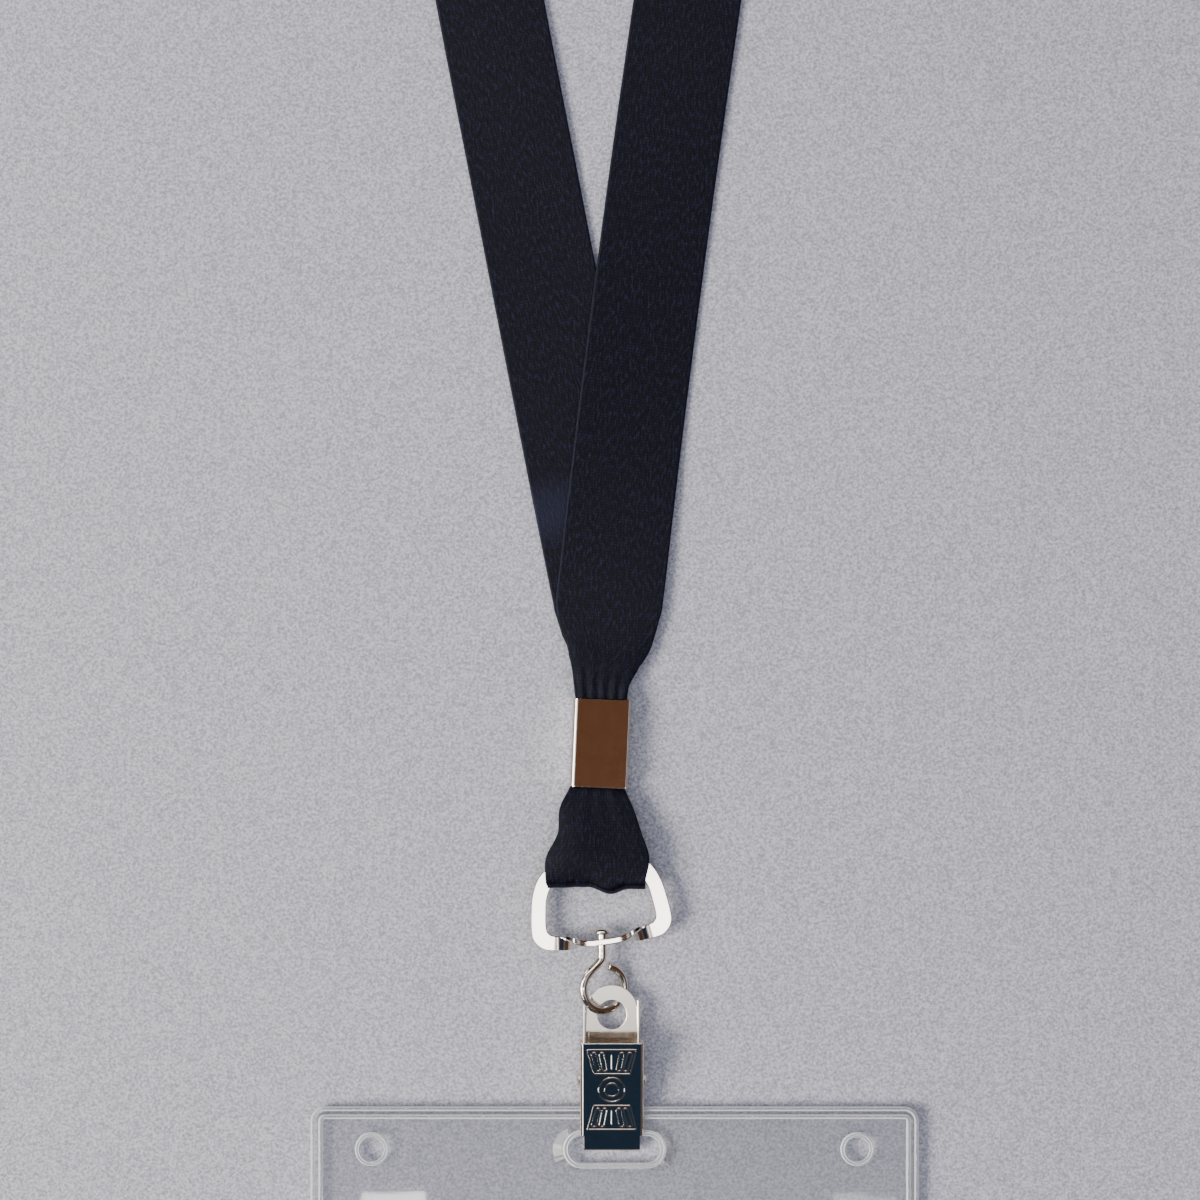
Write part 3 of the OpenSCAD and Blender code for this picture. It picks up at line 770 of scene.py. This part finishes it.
def circle(cx, cy, r, steps=48):
    return arc(cx, cy, r, 0, 360 - 360 / steps, steps - 1)


def make_rear_lever():
    bm = bmesh.new()
    w, tab = LEVER_W / 2, TAB_W / 2
    right = [(tab, 0), (tab, LEVER_START), (w, LEVER_START), (w, LEVER_END), (tab, LEVER_END + SHOULDER),
             (tab, TAB_END - tab)]
    round_end = arc(0, TAB_END - tab, tab, 0, 180, 40)[1:-1]
    outline = [(-tab, 0)] + right + round_end + [(-x, s) for x, s in right[:0:-1]]
    stamping(bm, outline, [circle(0, TAB_HOLE_S, TAB_HOLE_R)], PLATE_T, clip_at, 0.09)
    # a side wall, as (s, h), with a round ear over the pin
    side = [(LEVER_START, 0), (LEVER_START, 1.9), (PIN_S - 2, 3.3)]
    side += arc(PIN_S, PIN_H, 1.6, 128, 52, 10)
    side += [(PIN_S + 2, 3.5), (PIN_S + 7, 2.2), (LEVER_END, PLATE_T), (LEVER_END, 0)]
    for x in (-w, w - PLATE_T):
        stamping(bm, side[::-1], [circle(PIN_S, PIN_H, PIN_HOLE_R, 24)], PLATE_T,
                 lambda s, h, t, x=x: clip_at(x + t, s, h), 0.07)
    finish_piece("rear_lever_plate", bm, "clip", DULL_NICKEL, ["clip_rear_lever"], 20)


def make_pivot_pin():
    bm = bmesh.new()
    reach = CLIP_W / 2 + 0.1
    profile = [(0.0, -reach - 0.5), (0.55, -reach - 0.46), (1.0, -reach - 0.3), (1.22, -reach - 0.08),
               (1.2, -reach), (0.6, -reach)]
    profile += [(r, -h) for r, h in profile[::-1]]
    turned(bm, profile, lambda p: clip_at(p.z, PIN_S + p.x, PIN_H + p.y), 28)
    finish_piece("riveted_pivot_pin", bm, "clip", NICKEL, ["clip_pivot_pin"])


SPRING_R, SPRING_WIRE_R, SPRING_TURNS, SPRING_X = 1.2, 0.25, 6.5, 4.1


def make_spring():
    low = PLATE_T + SPRING_WIRE_R + 0.02
    path = [Vector((-SPRING_X, PIN_S + s, low + (8.2 - s) * 0.02)) for s in (8.2, 6.0, 4.0, 2.0)]
    coils = round(SPRING_TURNS * 24)
    for k in range(coils + 1):
        a = 2 * pi * SPRING_TURNS * k / coils
        path.append(Vector((SPRING_X * (2 * k / coils - 1), PIN_S + SPRING_R * sin(a),
                            PIN_H - SPRING_R * cos(a))))
    path += [Vector((SPRING_X, PIN_S + s, PIN_H + SPRING_R + (s - 1) * 0.17)) for s in (2.0, 4.0, 5.5)]
    bm = bmesh.new()
    sweep(bm, [[clip_at(*p) for p in ring] for ring in wire_rings(path, lambda p: SPRING_WIRE_R, 10)])
    piece = finish_piece("torsion_spring", bm, None, SPRING_WIRE, ["clip_spring"], 50)
    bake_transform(piece)


# Pressed ornament of the front plate: two fans of slanted slots and a plain ring between them.
FANS = [(8.4, 3.8), (14.5, 19.1)]
FAN_NARROW, FAN_WIDE = 3.2, 4.3
SLOT_R = 0.42
RIDGE_W, RIDGE_H = 0.15, 0.055


def to_segment(p, a, b):
    """Distance from p to the segment from a to b."""
    run = b - a
    t = max(0.0, min(1.0, (p - a).dot(run) / run.dot(run)))
    return (p - a - run * t).length


def ornament_lines():
    """Segments with a radius: the pressed line runs round each at that distance."""
    lines = []
    for narrow, wide in FANS:
        inward = (wide - narrow) / abs(wide - narrow)
        corners = [Vector(c) for c in ((-FAN_NARROW, narrow), (FAN_NARROW, narrow), (FAN_WIDE, wide),
                                       (-FAN_WIDE, wide))]
        lines += [(a, b, 0.0) for a, b in zip(corners, corners[1:] + corners[:1])]
        top, foot = narrow + inward * 0.95, wide - inward * 0.95
        for side in (-1, 1):
            for near, far in ((1.25, 1.75), (2.4, 3.15)):
                lines.append((Vector((side * near, top)), Vector((side * far, foot)), SLOT_R))
        lines.append((Vector((0, top)), Vector((0, foot)), 0.0))
    return lines


ORNAMENT = ornament_lines()
RING_S = 11.45


def pressed_height(x, s):
    p = Vector((x, s))
    gap = min(abs(to_segment(p, a, b) - r) for a, b, r in ORNAMENT)
    radius = (p - Vector((0, RING_S))).length
    gap = min(gap, abs(radius - 2.3), abs(radius - 1.25))
    return RIDGE_H * (1 - smooth_step(0.0, RIDGE_W, gap))


JAW_ROWS, JAW_COLUMNS = 220, 108
BEND = 0.65
FLANGE_START = 2.5


def flange_depth(s):
    """How far a flange of the front plate hangs below the plate's underside at s."""
    edge = level([(2.5, 0.35), (7.6, 0.6), (PIN_A - 2.2, 2.0), (PIN_A + 2, 2.6), (JAW_L, 1.6)], s)
    ear = 1.7 ** 2 - (s - PIN_A) ** 2
    return max(edge, math.sqrt(ear) - PIN_D if ear > 0 else 0.0)


def make_front_jaw():
    bm = bmesh.new()
    half = CLIP_W / 2 - BEND
    top = PLATE_T

    def plate(along, across):
        x, s = (2 * across - 1) * half, along * JAW_L
        return jaw_at(x, s, top + pressed_height(x, s))

    def lip(along, across):
        x, a = (2 * across - 1) * half, (1 - along) * pi / 2
        drop = max(0.0, 0.5 - along) * 2 * 0.5
        return jaw_at(x, 0.4 - 0.4 * sin(a) - 0.4, top - 0.4 + 0.4 * cos(a) - drop)

    sheet_grid(bm, JAW_ROWS, JAW_COLUMNS, plate)
    sheet_grid(bm, 6, JAW_COLUMNS, lip)
    first = round(FLANGE_START / JAW_L * JAW_ROWS)
    start = first * JAW_L / JAW_ROWS
    for side in (-1, 1):
        def flange(along, across, side=side):
            s = start + along * (JAW_L - start)
            turn = min(across * 2, 1.0) * pi / 2
            drop = max(across * 2 - 1, 0.0) * (flange_depth(s) + PLATE_T - BEND)
            return jaw_at(side * (half + BEND * sin(turn)), s, top - BEND + BEND * cos(turn) - drop)

        sheet_grid(bm, JAW_ROWS - first, 12, flange)
    bmesh.ops.remove_doubles(bm, verts=bm.verts, dist=2e-6)
    bmesh.ops.recalc_face_normals(bm, faces=bm.faces)
    piece = finish_piece("front_jaw_plate", bm, "jaw", BRIGHT_NICKEL, ["clip_front_jaw"], 50)
    thicken(piece, PLATE_T, -1.0)


# ---- Card pocket ----

# Clear flexible PVC, calendered: colourless, with a hard gloss that grows towards a glancing view
# and a slow waviness, so it shows mostly by its edges and by soft glare. Its steep slopes are mixed
# with a milky white, partly the plastic's own cloudiness and partly a painted highlight, strongest on
# the welded ridges; at a glancing view its clear part is tinted darker, a painted shade at the ridges' foot.
def clear_vinyl(name, milk_and_painted_highlight, foot, ior, ripple, size):
    """Vinyl with its milk and painted highlight on slopes, its painted shade at a glancing view, and its
    waves' height and size.
    """
    material, tree, out = new_material(name)
    waves = add(tree, "ShaderNodeTexNoise",
                {"Vector": object_coords(tree), "Scale": 1 / size, "Detail": 1.0})
    bump = add(tree, "ShaderNodeBump",
               {"Height": waves.outputs["Fac"], "Strength": ripple, "Distance": 0.0005})
    facing = add(tree, "ShaderNodeLayerWeight", {"Blend": 0.5})
    # painted shade: the clear part is tinted darker at a glancing view, at the ridges' foot
    painted_glancing_shade = ramp(tree, facing.outputs["Facing"], [(0.6, "#fefefe"), (0.95, foot)])
    clear = add(tree, "ShaderNodeBsdfTransparent", {"Color": painted_glancing_shade.outputs["Color"]})
    gloss = add(tree, "ShaderNodeBsdfPrincipled", {
        "Base Color": linear("#ffffff"), "Metallic": 1.0, "Roughness": 0.02,
        "Normal": bump.outputs["Normal"]})
    share = add(tree, "ShaderNodeFresnel", {"IOR": ior, "Normal": bump.outputs["Normal"]})
    mixed = add(tree, "ShaderNodeMixShader",
                {0: share.outputs["Fac"], 1: clear.outputs["BSDF"], 2: gloss.outputs["BSDF"]})
    haze = add(tree, "ShaderNodeBsdfPrincipled", {"Base Color": linear("#f4f6fa"), "Roughness": 0.4})
    # milky white on slopes: partly the plastic's cloudiness, partly a painted highlight
    slope_milk_and_highlight = add(tree, "ShaderNodeMapRange", {
        "Value": facing.outputs["Facing"], "From Min": 0.03, "From Max": 0.28, "To Min": 0.0,
        "To Max": milk_and_painted_highlight})
    milk_and_highlight_mix = add(tree, "ShaderNodeMixShader",
                {0: slope_milk_and_highlight.outputs["Result"], 1: mixed.outputs["Shader"], 2: haze.outputs["BSDF"]})
    tree.links.new(milk_and_highlight_mix.outputs["Shader"], out.inputs["Surface"])
    return material


VINYL = clear_vinyl("clear_calendered_pvc", 0.1, "#c8ccd4", 1.45, 0.06, 18.0)
# the weld: strong milky white and painted highlight on its slopes, and a dark painted shade at its foot
WELD = clear_vinyl("welded_pvc_bead", 0.85, "#69717c", 1.55, 0.05, 2.5)

HOLDER_W, HOLDER_H = 108.0, 95.0
HOLDER_LIFT = 1.3
HOLDER_TILT = math.asin(HOLDER_LIFT / HOLDER_H)
SHEET_T = 0.35
CARD_GAP = 0.3
BORDER_W = 2.2
CORNER_R = 2.6
HEADER_H = 14.9
SLOT_L, SLOT_W, SLOT_Y = 16.2, 4.8, 7.6
SLOT_RIM = 1.0
HOLE_R, HOLE_RIM, HOLE_X = 2.1, 0.9, 43.1
# Gap between touching pieces, and the rounding of a cut sheet's edges.
AIR, SHEET_EDGE = 0.015, 0.06
# The swelling at a slot's end: greatest width and height, and where it starts and ends, in degrees.
SWELL_W, SWELL_H, SWELL_FROM, SWELL_TO = 1.9, 0.8, 108.0, 258.0


def holder_at(x, y, z):
    """A point of the pocket, from the middle of its upper edge on its back face."""
    c, t = cos(HOLDER_TILT), sin(HOLDER_TILT)
    return at(x, y * c - z * t, HOLDER_LIFT + y * t + z * c)


def rounded_rectangle(x0, y0, x1, y1, r, steps=8):
    return (arc(x1 - r, y1 - r, r, 0, 90, steps) + arc(x0 + r, y1 - r, r, 90, 180, steps)
            + arc(x0 + r, y0 + r, r, 180, 270, steps) + arc(x1 - r, y0 + r, r, 270, 360, steps))


def stadium(cx, cy, length, width, steps=20):
    """A slot's outline, with round ends."""
    r, reach = width / 2, (length - width) / 2
    return arc(cx + reach, cy, r, -90, 90, steps) + arc(cx - reach, cy, r, 90, 270, steps)


def bead(bm, outline_of, profile):
    """A moulded bead all the way round: profile holds (inset, height) and outline_of(inset) a line."""
    lines = [outline_of(inset) for inset, _ in profile]
    rings = [[holder_at(*lines[k][i], profile[k][1]) for k in range(len(profile))]
             for i in range(len(lines[0]))]
    sweep(bm, rings, closed=True)


def ridges(width, base, crest, valley, round_w):
    """Profile of a weld: two round ridges with a flat between them."""
    def ridge(start):
        return [(start + round_w * k / 10, valley + (crest - valley) * sin(pi * k / 10) ** 1.3)
                for k in range(11)]

    return [(0.0, base)] + ridge(0.0) + ridge(width - round_w) + [(width, base)]


def clear_piece(name, bm, replaced=(), smooth_under=20):
    """A clear piece casts no shadow, since nearly all the light goes through stacked sheets."""
    piece = finish_piece(name, bm, "holder", VINYL, replaced, smooth_under)
    piece.visible_shadow = False


def slot_swell(side, name):
    """The header swells at the end of the slot, where the weld has drawn it."""
    centre, near = side * (SLOT_L - SLOT_W) / 2, SLOT_W / 2 + SLOT_RIM + AIR
    base = 2 * SHEET_T + AIR
    turns = 40
    rings = []
    for k in range(turns + 1):
        a = radians(SWELL_FROM + (SWELL_TO - SWELL_FROM) * k / turns)
        size = 0.05 + 0.95 * sin(pi * k / turns) ** 0.6
        outline = [(near + size * SWELL_W * j / 10, base + size * SWELL_H * (1 - j / 10)) for j in range(11)]
        rings.append([holder_at(centre - side * r * cos(a), -SLOT_Y + r * sin(a), z)
                      for r, z in outline + [(near, base)]])
    bm = bmesh.new()
    sweep(bm, rings)
    clear_piece(f"slot_swell_{name}", bm, smooth_under=40)


def make_holder():
    half = HOLDER_W / 2
    bm = bmesh.new()
    bead(bm, lambda d: rounded_rectangle(d - half, d - HOLDER_H, half - d, -d, max(CORNER_R - d, 0.4)),
         ridges(BORDER_W, SHEET_T + AIR, 1.05, 0.72, 0.8))
    finish_piece("welded_border", bm, "holder", WELD, ["holder_border_weld"])
    bm = bmesh.new()
    bead(bm, lambda d: stadium(0, -SLOT_Y, SLOT_L + 2 * d, SLOT_W + 2 * d),
         ridges(SLOT_RIM, SHEET_T + AIR, 0.95, 0.72, 0.45))
    finish_piece("slot_rim", bm, "holder", WELD, ["holder_slot_weld"])
    for side, name in ((-1, "left"), (1, "right")):
        bm = bmesh.new()
        bead(bm, lambda d, side=side: circle(side * HOLE_X, -SLOT_Y, HOLE_R + d),
             ridges(HOLE_RIM, SHEET_T + AIR, 1.0, 0.7, 0.42))
        finish_piece(f"hole_rim_{name}", bm, "holder", WELD, [f"holder_hole_weld_{name}"])
        slot_swell(side, name)
    inner = BORDER_W + AIR
    bm = bmesh.new()
    header = rounded_rectangle(inner - half, -HEADER_H, half - inner, -inner, 0.4, 3)
    holes = [circle(side * HOLE_X, -SLOT_Y, HOLE_R + HOLE_RIM + AIR) for side in (-1, 1)]
    holes.append(stadium(0, -SLOT_Y, SLOT_L + 2 * (SLOT_RIM + AIR), SLOT_W + 2 * (SLOT_RIM + AIR)))
    stamping(bm, header, holes, SHEET_T - 2 * AIR,
             lambda x, y, z: holder_at(x, y, SHEET_T + AIR + z), SHEET_EDGE)
    clear_piece("header_sheet", bm, ["holder_header_front"])
    bm = bmesh.new()
    pocket = rounded_rectangle(inner - half, inner - HOLDER_H, half - inner, -HEADER_H - 0.1, 0.4, 3)
    stamping(bm, pocket, [], SHEET_T,
             lambda x, y, z: holder_at(x, y, SHEET_T + CARD_GAP + z), SHEET_EDGE)
    clear_piece("pocket_sheet", bm, ["holder_pocket_front"])


def dress_cad_nodes():
    """The back sheet is the one CAD part whose shape is final, so it only gets its material."""
    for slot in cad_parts["holder_back_sheet"].material_slots:
        slot.material = VINYL


make_ribbon_fold()
make_crimp_sleeve()
make_d_loop()
make_swivel_eye()
make_rear_lever()
make_pivot_pin()
make_spring()
make_front_jaw()
make_holder()
dress_cad_nodes()
